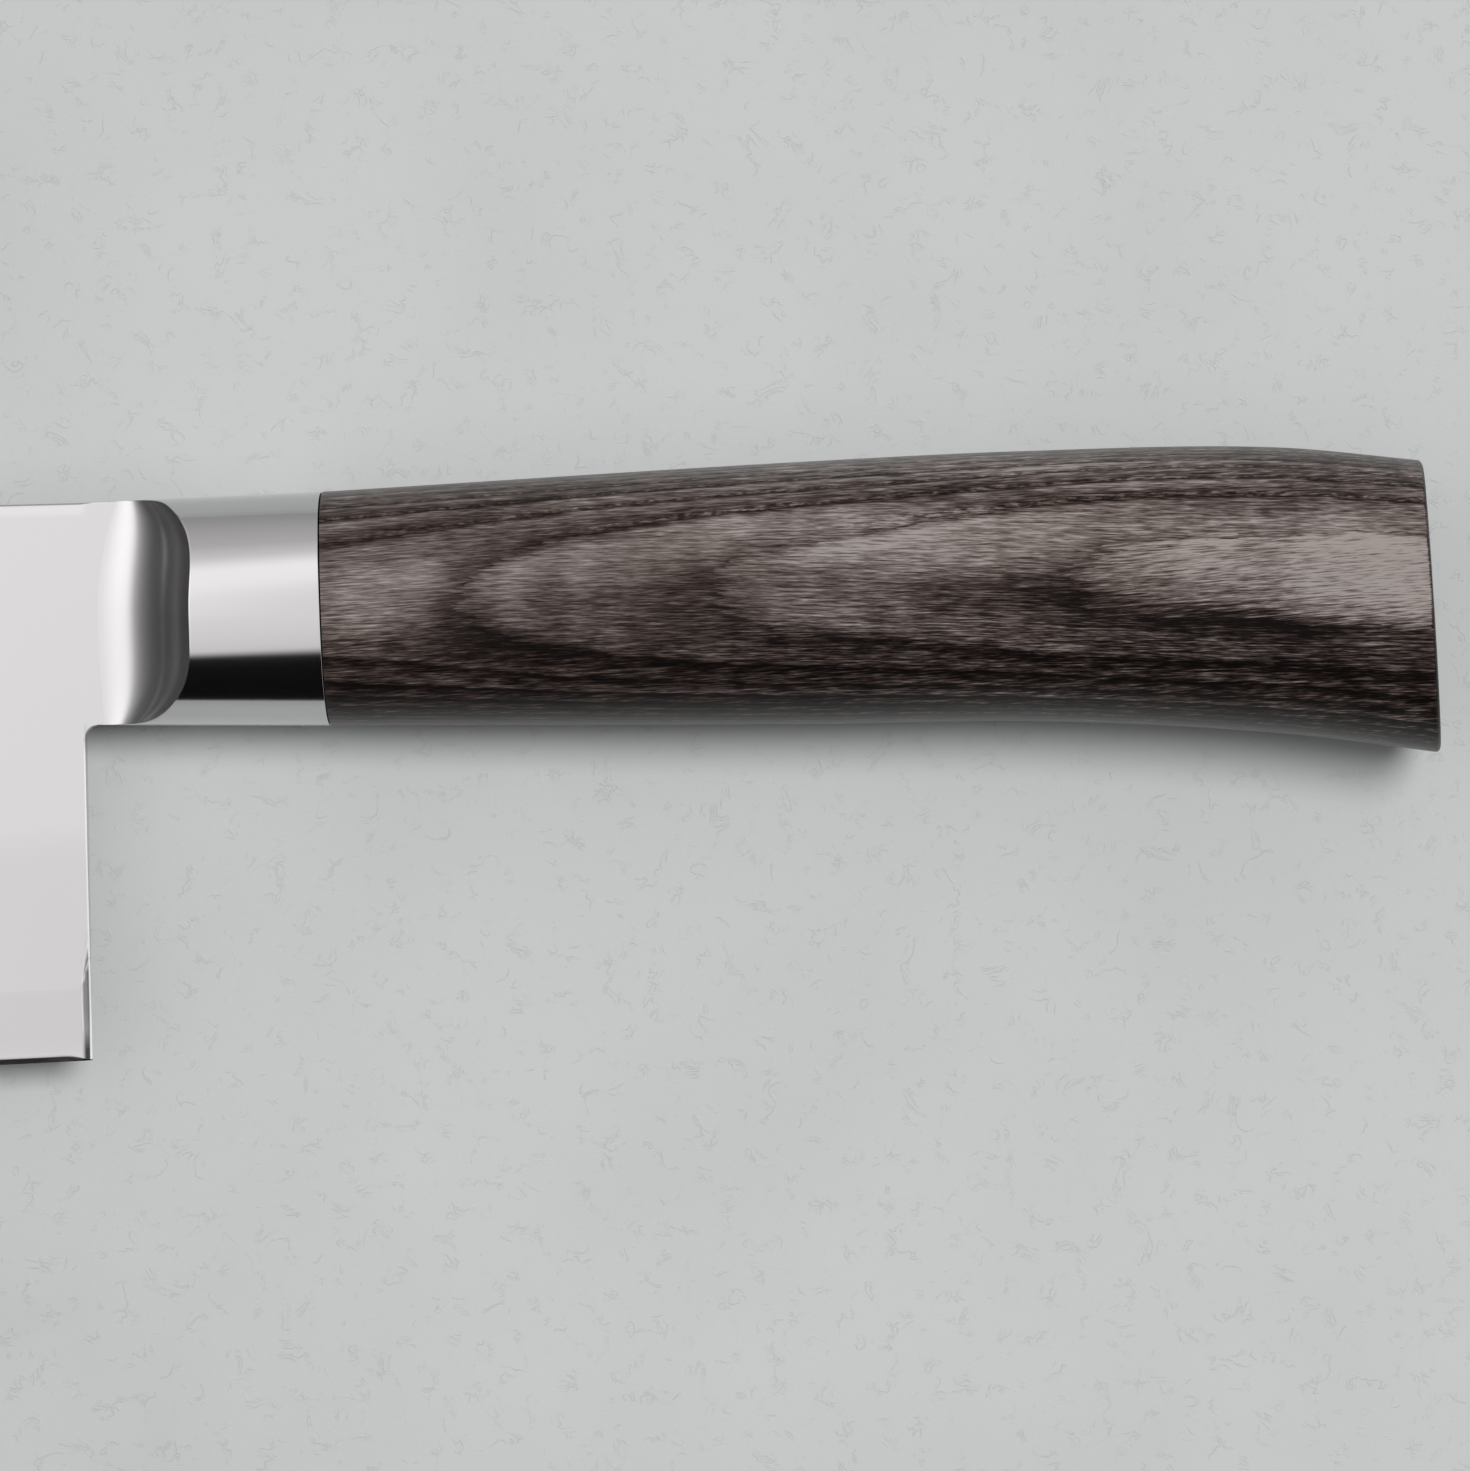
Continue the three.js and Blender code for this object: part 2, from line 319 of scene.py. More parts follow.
def reliefAt(y):  # share and width of the relief ground along the choil, both greatest at the edge
    share = min(max(1 - (y - edgeAtHeel) / blade["reliefHeight"], 0), 1)
    wider = softStep(0, blade["reliefWiden"], share)
    return share, blend(blade["reliefTop"], blade["reliefWidth"], wider)


def reliefTone(x, y):  # how much of the darkening shows: partly grind, partly painted dark reflection
    share, width = reliefAt(y)
    onStrip = softStep(*blade["darkAcross"], 1 + x / width) if -x > 1.05 * blade["eased"] else 0
    deep = blend(blade["darkLeast"], 1, softStep(*blade["darkLow"], share))
    return onStrip * softStep(0, blade["reliefFade"], share) * deep


def reliefFall(x, y):  # how far the relief and the eased corner fall below the face
    share, width = reliefAt(y)
    eased, bent, turnWidth = blade["eased"], blade["reliefBlend"], blade["reliefTurnWidth"]
    inside = max(width + min(x, -eased), 0)  # the relief, up to the eased corner
    slope = math.tan(math.radians(blade["reliefSlope"]))
    falls = slope * (inside**2 / (2 * bent) if inside < bent else inside - bent / 2)
    falls += blade["reliefTurn"] * max(inside - width + eased + turnWidth, 0)**2 / (2 * turnWidth)
    low = blend(1, blade["reliefLowShare"], softStep(*blade["reliefLow"], share))
    falls *= softStep(0, blade["reliefFade"], share) * low
    return falls + math.tan(math.radians(blade["easedSlope"])) * max(eased + x, 0)


def bladeHalfAt(x, y):  # half thickness anywhere on blade, neck and tang
    if x > 0:
        fade = max(1 - x / blade["toe"], 0.05)
        falls = rounded(spineAt(x) - y, blade["spineRound"] * fade)
        corner = math.hypot(x - blade["choil"], y + blade["neckDrop"] + blade["choil"]) - blade["choil"]
        depth = corner if x < blade["choil"] else y - neckLowAt(x)
        return blade["half"] - falls - rounded(depth, blade["backRound"] * fade)
    top, ground, soft, shoulder, sharp, edge = bladeLevels(x)
    half = flatHalfAt(x)
    slope = (half - blade["shoulderHalf"]) / (ground - shoulder)
    if y > ground + soft:
        z = half
    elif y > ground - soft:
        z = half - slope * (ground + soft - y)**2 / (4 * soft)
    elif y > shoulder:
        z = half - slope * (ground - y)
    elif y > sharp:
        z = blade["shoulderHalf"]
    else:
        z = blend(blade["edgeHalf"], blade["shoulderHalf"], (y - edge) / max(sharp - edge, 0.001))
    z -= rounded(top - y, min(blade["spineRound"], 0.5 * half))
    if y <= -blade["neckDrop"] - blade["choil"]:
        z -= min(reliefFall(x, y), 0.8 * z)
    return z


def heelReach(place, width):  # how far a heel column stands from the choil
    across, beyond, easedShare = place
    return blade["eased"] * easedShare + (width - blade["eased"]) * across + beyond


def bladePlaces():  # the blade's columns from tip to heel, and those that follow the relief
    count = blade["columns"]
    reaches = [blade["length"] * (1 - i / count)**blade["crowding"] for i in range(count)]
    mainXs = [-reach for reach in reaches if reach > blade["heelColumns"]]
    heelPlaces = [(1, beyond, 1) for beyond in (1.2, 0.8, 0.5, 0.28, 0.12, 0.04, 0)]
    heelPlaces += [(across, 0, 1) for across in (0.97, 0.9, 0.8, 0.7, 0.6, 0.5, 0.4, 0.3, 0.2, 0.1, 0)]
    heelPlaces += [(0, 0, easedShare) for easedShare in (0.9, 0.5, 0)]
    return mainXs, heelPlaces


def makeBlankGrid():
    # Rows run from spine to edge. The neck keeps the rows above the choil, the tang the middle
    # ones, so that the three share their corners.
    skin = [0, 0.02, 0.06, 0.11, blade["spineRound"]]
    tangShare = 0.5 - blade["tangHalf"] / (blade["neckEndRise"] + blade["neckEndDrop"])
    upper = [tangShare * i / 4 for i in range(1, 5)]
    middle = [blend(tangShare, 1 - tangShare, i / 6) for i in range(1, 7)]
    neckShares = upper + middle + [1 - share for share in upper[2::-1]]
    neckRows = len(skin) + len(neckShares) + len(skin)
    tangRows = (len(skin) + 3, len(skin) + 9)

    def neckColumn(x):
        top, low = spineAt(x), neckLowAt(x)
        inside = [blend(top, low, share) for share in neckShares]
        return [top - d for d in skin] + inside + [low + d for d in skin[::-1]]

    def bladeColumn(x):
        top, ground, soft, shoulder, sharp, edge = bladeLevels(x)
        heelColumn = neckColumn(0)
        flatLow = bladeLevels(0)[1] + bladeLevels(0)[2]
        shares = [(blade["spine"] - y) / (blade["spine"] - flatLow) for y in heelColumn[len(skin):]]
        scale = min(1, 0.4 * flatHalfAt(x) / blade["spineRound"])
        column = [top - d * scale for d in skin] + [blend(top, ground + soft, share) for share in shares]
        below = column[-1]
        column += [blend(below, ground + soft, i / 6) for i in range(1, 7)]
        column += [blend(ground + soft, ground - soft, i / 8) for i in range(1, 9)]
        column += [blend(ground - soft, shoulder, i / 16) for i in range(1, 17)]
        near = 0.25 * (sharp - edge)
        column += [blend(shoulder, sharp, 0.5), sharp + near, sharp, sharp - near, edge + near, edge]
        return column

    mainXs, heelPlaces = bladePlaces()
    bladeXs = mainXs + [-heelReach(place, blade["reliefWidth"]) for place in heelPlaces]
    arcXs = [blade["choil"] * (1 - math.cos(math.radians(turn))) for turn in range(9, 91, 9)]
    neckXs = arcXs + [blend(blade["choil"], blade["neckEnd"], i / 14) for i in range(1, 15)]
    tangXs = [blend(blade["neckEnd"], blade["tangEnd"], 1 - (1 - i / 24)**1.6) for i in range(1, 25)]

    columns = [(x, bladeColumn(x)) for x in bladeXs]
    rows = len(columns[0][1])
    columns += [(x, neckColumn(x) + [0] * (rows - neckRows)) for x in neckXs]
    for x in tangXs:
        half = tangHalfAt(x)
        count = tangRows[1] - tangRows[0]
        inside = [blend(half, -half, i / count) for i in range(count + 1)]
        columns.append((x, [0] * tangRows[0] + inside + [0] * (rows - tangRows[1] - 1)))

    def filled(i, j):  # whether the patch between two columns and two rows is steel
        if not (0 <= i < len(columns) - 1 and 0 <= j < rows - 1):
            return False
        if i < len(bladeXs) - 1:
            return True
        if i < len(bladeXs) + len(neckXs) - 1:
            return j < neckRows - 1
        return tangRows[0] <= j < tangRows[1]

    def placeAt(i, y):  # the heel's columns follow the relief
        if len(mainXs) <= i < len(bladeXs):
            return -heelReach(heelPlaces[i - len(mainXs)], reliefAt(y)[1])
        return columns[i][0]

    return columns, rows, filled, placeAt


def makeBlank():
    columns, rows, filled, placeAt = makeBlankGrid()
    blank = bmesh.new()
    toneTag = blank.verts.layers.float.new("relief")
    sides = {1: {}, -1: {}}

    def corner(side, i, j):
        if (i, j) not in sides[side]:
            y = columns[i][1][j]
            x = placeAt(i, y)
            vert = blank.verts.new((x, y, side * bladeHalfAt(x, y)))
            vert[toneTag] = reliefTone(x, y)
            sides[side][i, j] = vert
        return sides[side][i, j]

    for i in range(len(columns) - 1):
        for j in range(rows - 1):
            if not filled(i, j):
                continue
            ring = [(i, j), (i, j + 1), (i + 1, j + 1), (i + 1, j)]
            blank.faces.new([corner(1, *at) for at in ring])
            blank.faces.new([corner(-1, *at) for at in ring[::-1]])
            beside = [(i - 1, j), (i, j + 1), (i + 1, j), (i, j - 1)]
            for k, at in enumerate(beside):
                if not filled(*at):
                    a, b = ring[k], ring[(k + 1) % 4]
                    blank.faces.new([corner(1, *b), corner(1, *a), corner(-1, *a), corner(-1, *b)])
    bmesh.ops.recalc_face_normals(blank, faces=blank.faces)
    return blank


def makeLayers():
    blank = makeBlank()
    far = 2 * blade["half"]
    weld = blade["coreHalf"]
    plans = {
        "ground_core": (-weld, weld, coreSteel, "core_steel", "blade_core"),
        "ground_cladding_left": (weld, far, satinStainless, "cladding_steel", "blade_cladding_left"),
        "ground_cladding_right": (-far, -weld, satinStainless, "cladding_steel", "blade_cladding_right"),
    }
    for name, (low, high, material, slot, node) in plans.items():
        layer = blank.copy()
        for level, keepAbove in ((low, True), (high, False)):
            if abs(level) == far:
                continue
            cut = bmesh.ops.bisect_plane(
                layer, geom=layer.verts[:] + layer.edges[:] + layer.faces[:], plane_co=(0, 0, level),
                plane_no=(0, 0, 1), clear_inner=keepAbove, clear_outer=not keepAbove, dist=0.005)
            edges = [item for item in cut["geom_cut"] if isinstance(item, bmesh.types.BMEdge)]
            bmesh.ops.triangle_fill(layer, edges=edges, use_beauty=True)
        finishPiece(name, meshFrom(layer, name), material, [node])
    blank.free()


makeLayers()

# Bolster halves: a rounded collar, scooped at the front to run out on the blade

bolster = {
    "toe": 1.3, "end": 21.7, "frontHalf": 8.9, "endHalf": 9, "frontRise": 9.995, "endRise": 10.5,
    "frontDrop": 9.81, "endDrop": 10.24, "spinePower": 3, "edgePower": 2.4, "frontTwist": -2,
    "endTwist": 2.2, "scoopRadius": 8.85, "scoopTight": 4.5, "toeBack": 1.9, "toeBackBelow": 0.4,
    "rimSoft": 0.45, "seamSlant": 0.0125, "endRound": 0.04, "around": 120, "frontSteps": 36,
    "backSteps": 30, "crowding": 1.8,
}


def sectionPoint(angle, rise, drop, half):  # on a rounded section, from its top round
    power = bolster["spinePower"] if math.cos(angle) >= 0 else bolster["edgePower"]
    across = abs(math.cos(angle))**(2 / power)
    along = abs(math.sin(angle))**(2 / power)
    reach = rise if math.cos(angle) >= 0 else -drop
    return reach * across, math.copysign(half * along, math.sin(angle))


def collarAt(x, angle):
    share = (x - bolster["toe"]) / (bolster["end"] - bolster["toe"])
    y, z = sectionPoint(
        angle, blend(bolster["frontRise"], bolster["endRise"], share),
        blend(bolster["frontDrop"], bolster["endDrop"], share),
        blend(bolster["frontHalf"], bolster["endHalf"], share))
    twist = math.radians(blend(bolster["frontTwist"], bolster["endTwist"], share))  # from hand polishing
    return y, z + twist * y * (z - blade["half"]) / bolster["frontHalf"]


def scoopAt(y):  # start and radius: it starts further back and is tighter towards both ends
    share = min(abs(y) / bolster["frontRise"], 1)
    back = bolster["toeBack"] if y > 0 else bolster["toeBackBelow"]
    return bolster["toe"] + back * share**2, bolster["scoopRadius"] - bolster["scoopTight"] * share**4


def scoopHeight(x, y):
    start, radius = scoopAt(y)
    run = min(max(x - start, 0), radius)
    return blade["half"] + radius - math.sqrt(radius**2 - run**2)


def rimAt(angle):  # where the scoop meets the collar
    x = bolster["toe"] + bolster["scoopRadius"]
    for _ in range(8):
        y, z = collarAt(x, angle)
        start, radius = scoopAt(y)
        below = max(blade["half"] + radius - z, 0)
        x = start + math.sqrt(max(radius**2 - below**2, 0))
    return x


def softMin(a, b, reach):
    share = min(max(0.5 + 0.5 * (b - a) / reach, 0), 1)
    return blend(b, a, share) - reach * share * (1 - share)


def bolsterPoint(x, angle):  # on the scoop or on the collar, whichever is lower
    y, z = collarAt(x, angle)
    reach = min(bolster["rimSoft"], z - blade["half"] + 0.001)
    z = max(softMin(scoopHeight(x, y), z, reach), blade["half"])
    inset = rounded(bolster["end"] - x, bolster["endRound"])
    point = Vector((x - bolster["seamSlant"] * y * (x / bolster["end"])**2, y, z))
    return point - Vector((0, y, z)).normalized() * inset


def bolsterShares():  # steps from toe to rim and from rim to end, crowded at the rim
    frontSteps, backSteps, crowding = bolster["frontSteps"], bolster["backSteps"], bolster["crowding"]
    front = [1 - (1 - i / frontSteps)**crowding for i in range(frontSteps)] + [0.9985]
    back = [0, 0.0015] + [(i / backSteps)**crowding for i in range(2, backSteps)]
    return front, back + [0.985, 0.9955, 0.9975, 0.999, 1]


def makeBolsterHalf(name, side, node):
    onBlade = blade["half"] / bolster["frontHalf"]
    start = math.asin(onBlade**(bolster["spinePower"] / 2))
    stop = math.pi - math.asin(onBlade**(bolster["edgePower"] / 2))
    front, back = bolsterShares()
    shell = bmesh.new()
    scoopTag = shell.verts.layers.float.new("scoop")
    grid = []
    for i in range(bolster["around"] + 1):
        angle = blend(start, stop, i / bolster["around"])
        toe = scoopAt(collarAt(bolster["toe"], angle)[0])[0]
        rim = rimAt(angle)
        xs = [blend(toe, rim, share) for share in front]
        xs += [blend(rim, bolster["end"], share) for share in back]
        line = []
        for k, x in enumerate(xs):
            point = bolsterPoint(x, angle)
            vert = shell.verts.new((point.x, point.y, side * point.z))
            vert[scoopTag] = 1 if k < len(front) else 0
            line.append(vert)
        grid.append(line)
    for one, two in zip(grid, grid[1:]):
        for a, b, c, d in zip(one, two, two[1:], one[1:]):
            shell.faces.new((a, b, c, d))
    shell.faces.new([line[-1] for line in grid])
    shell.faces.new([line[0] for line in grid] + grid[-1][1:] + grid[0][:0:-1])
    finishPiece(name, meshFrom(shell, name), polishedStainless, [node])


makeBolsterHalf("scooped_bolster_left", 1, "bolster_left")
makeBolsterHalf("scooped_bolster_right", -1, "bolster_right")

# Handle

handle = {
    "front": 21.8, "length": 97.9, "spinePower": 3, "edgePower": 2.4, "frontSlant": 0.0125,
    "buttSlant": 0.045, "frontRound": 0.06, "buttRound": 0.65, "buttDome": 0.2, "sides": 160,
    "rings": 120, "slotWall": 0.6, "slotHalf": 1.6, "slotAhead": 2,
}

# The finest fibres are drawn about twice as wide as in birch, where they would be lost in the picture.
wood = {
    "ply": 0.9, "wander": 0.32, "wanderLengths": (26, 9, 9), "ragged": 0.28,
    "raggedLengths": (4, 0.3, 0.8), "sink": 0.55, "sinkFrom": 66, "sinkTo": 97, "leanLeast": -0.05,
    "leanMost": 0.08, "plyShift": 7, "fibreLengths": (7.5, 0.19, 0.5), "fibreSwing": 0.8,
    "poreLengths": (1.8, 0.12, 0.4), "poreSwing": 1.2,
    "flameLengths": (3.4, 12, 12), "flameSwing": 0.25, "plySwing": 0.16,
    "coarse": (("Y", -4, 1, 1.35, 1), ("X", 50, 75, 0.85, 1.15)),  # axis, from, to and how coarse there
    "ringLengths": (0.7, 0.24, 0.5), "ringSeen": (0.4, 0.62), "ringTones": (-0.08, 0.22), "ringAt": 0.85,
    "ringHalf": 0.1, "ringFrom": 5.5, "ringTo": 7.5,
    # painted shade down the edge side: from and to across, darkest and palest tone
    "paintedShadeFrom": -6.5, "paintedShadeTo": -1.5, "paintedShadeDark": -0.27, "paintedShadePale": 0.03,
    "endSteps": ((0.5, -0.45), (0.26, 0.27)), "endRun": 0.2,  # how far from the butt, and tone
    "fraying": (7, 0.8, 0), "patchDepth": 10, "patchReach": 7, "patchFull": 0.3, "patchEnd": 1.25,
    "greys": ("#060202", "#221917", "#493f3c", "#756b68", "#9f9794"),
    "browns": ("#080301", "#281b13", "#514134", "#7b6857", "#a08d7a"),
    "warmSeen": (0.48, 0.75), "warmest": 0.15, "roughness": 0.42, "poreGloss": 0.12, "poreDepth": 0.03,
    "poreBump": 0.25, "ior": 1.5, "sheenBlend": 0.3, "sheenLeast": 0.08, "sheenMost": 0.9,
}
# Soft patches of paler and darker wood in the top veneers, many of the pale ones painted sheen along
# the upper side, the top rim and the butt: x and y of the middle, length, height, turn in degrees and
# tone.
figureAndSheen = [
    (27, 1, 8, 4.3, 0, 0.32), (35, 3.2, 7, 3, 4, 0.2), (39, -1.6, 6, 2.2, 0, -0.08),
    (38, -4, 11, 1.8, 0, -0.12), (48, 3.2, 8, 2.4, 2, 0.18), (61, 5.2, 14, 2.8, 1, 0.26),
    (78, 4.6, 16, 3.4, 0, 0.25), (94, 5, 11, 3, -3, 0.2), (84, -0.4, 13, 2.8, -6, -0.06),
    (106, 5.1, 16, 1.9, 0, 0.28), (56, 1.5, 5, 3.5, 0, 0.08), (100, 2, 6, 1.6, -4, 0.15),
    (74, 7.2, 8, 1.2, 0, 0.15), (88, 2.5, 8, 2.4, 0, 0.12), (85, -3, 9, 1.8, -3, 0.1),
    (63, -2.4, 6, 1.4, -4, 0.12), (72, 12, 40, 1.6, 0, 0.22), (116, 1.6, 15, 5.6, -5, 0.32),
    (116, -4.3, 7, 2, -4, 0.19), (100, -2, 17, 1.2, -8, -0.2), (34, 8, 13, 1, 9, -0.16),
    (96, 9.6, 10, 1, 0, 0.1),
]


def swung(tree, base, parts):  # base plus each part, which swings by its amount about zero
    for part, amount in parts:
        swing = addNode(tree, "Math", "MULTIPLY_ADD", (part, amount, -amount / 2))
        base = addNode(tree, "Math", "ADD", (base, swing))
    return base


def plyLayers(tree, axes, wander, ragged):  # depth in the bent plies, the ply's number, share of it
    bent = swung(tree, axes["Z"], ((wander, wood["wander"]), (ragged, wood["ragged"])))
    sunk = addNode(tree, "MapRange", softly, (  # pressed lower at the butt
        axes["X"], wood["sinkFrom"], wood["sinkTo"], 0, wood["sink"]))
    depth = addNode(tree, "Math", "ADD", (bent, sunk))
    layers = addNode(tree, "Math", "MULTIPLY_ADD", (depth, 1 / wood["ply"], 0.5))
    ply = addNode(tree, "Math", "FLOOR", {0: layers})
    within = addNode(tree, "Math", "FRACT", {0: layers})
    return depth, ply, within


def grainPoint(tree, axes, depth, ply, chance):  # each ply leans its own way and has its own fibres
    slant = addNode(tree, "MapRange", inputs=(
        chance, 0, 1, wood["leanLeast"], wood["leanMost"]))
    lean = addNode(tree, "Math", "MULTIPLY", (axes["X"], slant))
    across = addNode(tree, "Math", "SUBTRACT", (axes["Y"], lean))
    inPly = addNode(tree, "Math", "MULTIPLY_ADD", (ply, wood["plyShift"], depth))
    return addNode(tree, "CombineXYZ", inputs=(axes["X"], across, inPly))


def withStreaks(tree, tone, axes, fibres, pores):  # coarser low on the side and towards the butt
    streaks = swung(tree, 0, ((fibres, wood["fibreSwing"]), (pores, wood["poreSwing"])))
    coarse = 1
    for axis, start, end, atStart, atEnd in wood["coarse"]:
        share = addNode(tree, "MapRange", inputs=(axes[axis], start, end, atStart, atEnd))
        coarse = addNode(tree, "Math", "MULTIPLY", (coarse, share))
    return addNode(tree, "Math", "MULTIPLY_ADD", (streaks, coarse, tone))


def withRingPores(tree, tone, axes, grain, within):  # rows of them by the glue lines near the spine
    beads = addNode(tree, "MapRange", inputs=(
        pattern(tree, grain, wood["ringLengths"], 1), *wood["ringSeen"], *wood["ringTones"]))
    inRow = addNode(tree, "Math", "COMPARE", (within, wood["ringAt"], wood["ringHalf"]))
    nearSpine = addNode(tree, "MapRange", inputs=(axes["Y"], wood["ringFrom"], wood["ringTo"]))
    row = addNode(tree, "Math", "MULTIPLY", (inRow, nearSpine))
    return addNode(tree, "Math", "MULTIPLY_ADD", (beads, row, tone))


def withShadeAndEndGrain(tree, tone, axes):  # painted shade: darker towards the edge side, which turns away from the light; also darker in the cut end, at its rim most
    shade = addNode(tree, "MapRange", inputs=(
        axes["Y"], wood["paintedShadeFrom"], wood["paintedShadeTo"], wood["paintedShadeDark"], wood["paintedShadePale"]))
    tone = addNode(tree, "Math", "ADD", (tone, shade))
    along = addNode(tree, "Math", "MULTIPLY_ADD", (
        axes["Y"], handle["buttSlant"], axes["X"]))
    butt = handle["front"] + handle["length"]
    for start, amount in wood["endSteps"]:
        endGrain = addNode(tree, "MapRange", inputs=(
            along, butt - start, butt - start + wood["endRun"], 0, amount))
        tone = addNode(tree, "Math", "ADD", (tone, endGrain))
    return tone


def withFigureAndSheen(tree, tone, point, fibres):  # the patches of figure and painted sheen, frayed along the fibres
    pulls = addNode(tree, "VectorMath", "SCALE", {0: wood["fraying"], "Scale": fibres})
    frayed = addNode(tree, "VectorMath", "ADD", (point, pulls))
    for x, y, length, height, turn, patchTone in figureAndSheen:
        middle = zip((x, y, wood["patchDepth"]), wood["fraying"])
        local = addNode(tree, "Mapping", {"vector_type": "TEXTURE"}, {
            "Vector": frayed, "Location": [place + pull / 2 for place, pull in middle],
            "Rotation": (0, 0, math.radians(turn)), "Scale": (length, height, wood["patchReach"])})
        off = addNode(tree, "VectorMath", "LENGTH", {0: local}).outputs["Value"]
        patch = addNode(tree, "MapRange", softly, (
            off, wood["patchFull"], wood["patchEnd"], patchTone, 0))
        tone = addNode(tree, "Math", "ADD", (tone, patch))
    return tone


def woodColour(tree, tone, wander):  # dyed grey, a little browner in places
    ramps = []
    for shades in (wood["greys"], wood["browns"]):
        ramp = addNode(tree, "ValToRGB", inputs={0: tone})
        setStops(ramp.color_ramp, [(i / 4, shade) for i, shade in enumerate(shades)])
        ramps.append(ramp)
    warmth = addNode(tree, "MapRange", inputs=(wander, *wood["warmSeen"], 0, wood["warmest"]))
    colour = addNode(tree, "Mix", {"data_type": "RGBA"}, {0: warmth, 6: ramps[0], 7: ramps[1]})
    return colour.outputs[2]


def makePakkawood():
    # Pakkawood, dyed birch veneers pressed in resin and buffed: the plies show as contour bands,
    # pale where each starts and dark towards its glue line, streaked by fibres under a satin sheen;
    # painted shade darkens the edge side and painted sheen lightens patches on the upper side
    material, tree, shader = newMaterial("pakkawood")
    point = knifePoint(tree)
    axes = addNode(tree, "SeparateXYZ", inputs={0: point}).outputs
    wander = pattern(tree, point, wood["wanderLengths"], 2)
    depth, ply, within = plyLayers(tree, axes, wander, pattern(tree, point, wood["raggedLengths"], 3))
    chance = addNode(tree, "TexWhiteNoise", {"noise_dimensions": "1D"}, {"W": ply})
    chances = addNode(tree, "SeparateColor", inputs={0: chance.outputs["Color"]})
    grain = grainPoint(tree, axes, depth, ply, chances.outputs[0])
    fibres = pattern(tree, grain, wood["fibreLengths"], 4, 0.7)
    pores = pattern(tree, grain, wood["poreLengths"], 2, 0.6)
    flame = pattern(tree, grain, wood["flameLengths"], 1)

    fade = addNode(tree, "ValToRGB", inputs={0: within})
    setStops(fade.color_ramp, [
        (0, 0.3), (0.05, 0.45), (0.16, 0.62), (0.4, 0.56), (0.75, 0.42), (0.95, 0.26), (1, 0.2)])
    tone = swung(tree, fade, ((chances.outputs[1], wood["plySwing"]), (flame, wood["flameSwing"])))
    tone = withStreaks(tree, tone, axes, fibres, pores)
    tone = withRingPores(tree, tone, axes, grain, within)
    tone = withShadeAndEndGrain(tree, tone, axes)
    tone = withFigureAndSheen(tree, tone, point, fibres)

    gloss = swung(tree, wood["roughness"], ((pores, wood["poreGloss"]),))
    bump = addNode(tree, "Bump", inputs={
        "Strength": wood["poreBump"], "Distance": wood["poreDepth"] * mm, "Height": tone})
    edgeOn = addNode(tree, "LayerWeight", inputs={"Blend": wood["sheenBlend"]}).outputs["Facing"]
    sheen = addNode(tree, "MapRange", inputs=(edgeOn, 0, 1, wood["sheenLeast"], wood["sheenMost"]))
    setInputs(tree, shader, {
        "Base Color": woodColour(tree, tone, wander), "Specular IOR Level": sheen, "Roughness": gloss,
        "Normal": bump, "IOR": wood["ior"]})
    return material


pakkawood = makePakkawood()

# place behind the bolster, then rise above the centre line, drop below it and half width
handleStations = smoothLine([
    (0, 10.5, 10.24, 9), (44, 12.3, 11, 10.6), (62.9, 12.8, 11.15, 10.76), (84.9, 12.65, 12.75, 10.85),
    (97.9, 11.2, 14.65, 10.9)])
ringValues = ("place", "rise", "drop", "half", "slant")


def handleRings():  # those values of each section, from the bolster to the butt
    length, count = handle["length"], handle["rings"]
    places = [(handle["frontRound"] * (1 - math.cos(t)), handle["frontRound"] * (1 - math.sin(t)), 1)
              for t in np.linspace(0, math.pi / 2, 4)]
    roundStart = length - handle["buttRound"]
    places += [(blend(handle["frontRound"], roundStart, i / count), 0, 1) for i in range(1, count)]
    places += [(roundStart + (handle["buttRound"] - handle["buttDome"]) * math.sin(t),
                handle["buttRound"] * (1 - math.cos(t)), 1) for t in np.linspace(0, math.pi / 2, 9)]
    places += [(length - handle["buttDome"] * share**2, handle["buttRound"], share)
               for share in (0.97, 0.9, 0.75, 0.55, 0.35, 0.15, 0.02)]
    rings = []
    for place, inset, share in places:
        slant = blend(handle["frontSlant"], handle["buttSlant"], place / length)
        sizes = [(size - inset) * share for size in handleStations(min(place, length))]
        rings.append([handle["front"] + place, *sizes, slant])
    return rings


